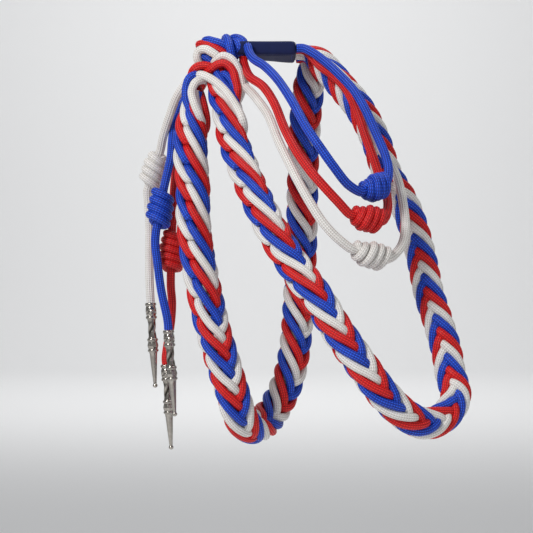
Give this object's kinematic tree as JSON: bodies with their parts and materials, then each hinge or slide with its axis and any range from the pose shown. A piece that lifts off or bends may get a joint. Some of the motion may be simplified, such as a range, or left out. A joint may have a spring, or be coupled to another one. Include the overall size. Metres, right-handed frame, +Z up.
{
  "type": "aiguillette",
  "caption": "Worn shoulder cord set of braided loops, knotted arm cords and knotted hanging cords with tapered metal tips, gathered at a padded shoulder tab.",
  "frame": {"origin": "the hold at the shoulder, in the middle of the wrap where all the cords are gathered", "axes": "+X away from the wearer's neck, +Y towards the wearer's back, +Z up, as worn on the left shoulder"},
  "size_m": [0.2701, 0.1568, 0.3534],
  "materials": {
    "blue_cord": "glossy rayon cord, royal blue",
    "red_cord": "glossy rayon cord, red",
    "white_cord": "glossy rayon cord, warm white",
    "braid_cord": "blue, red and white rayon cords braided together",
    "tip_metal": "polished nickel with cast relief",
    "tab_cloth": "blue wool cloth with a stitched edge"
  },
  "bodies": {
    "root": {"shoulder_tab": "tab_cloth", "shoulder_wrap": "blue_cord", "inner_braid": "braid_cord", "outer_braid": "braid_cord", "blue_arm_cord_front": "blue_cord", "blue_arm_knot": "blue_cord", "blue_arm_cord_rear": "blue_cord", "red_arm_cord_front": "red_cord", "red_arm_knot": "red_cord", "red_arm_cord_rear": "red_cord", "white_arm_cord_front": "white_cord", "white_arm_knot": "white_cord", "white_arm_cord_rear": "white_cord", "white_hanging_cord_upper": "white_cord", "white_hanging_knot": "white_cord", "white_hanging_cord_lower": "white_cord", "white_tip": "tip_metal", "blue_hanging_cord_upper": "blue_cord", "blue_hanging_knot": "blue_cord", "blue_hanging_cord_lower": "blue_cord", "blue_tip": "tip_metal", "red_hanging_cord_upper": "red_cord", "red_hanging_knot": "red_cord", "red_hanging_cord_lower": "red_cord", "red_tip": "tip_metal"}
  },
  "joints": []
}
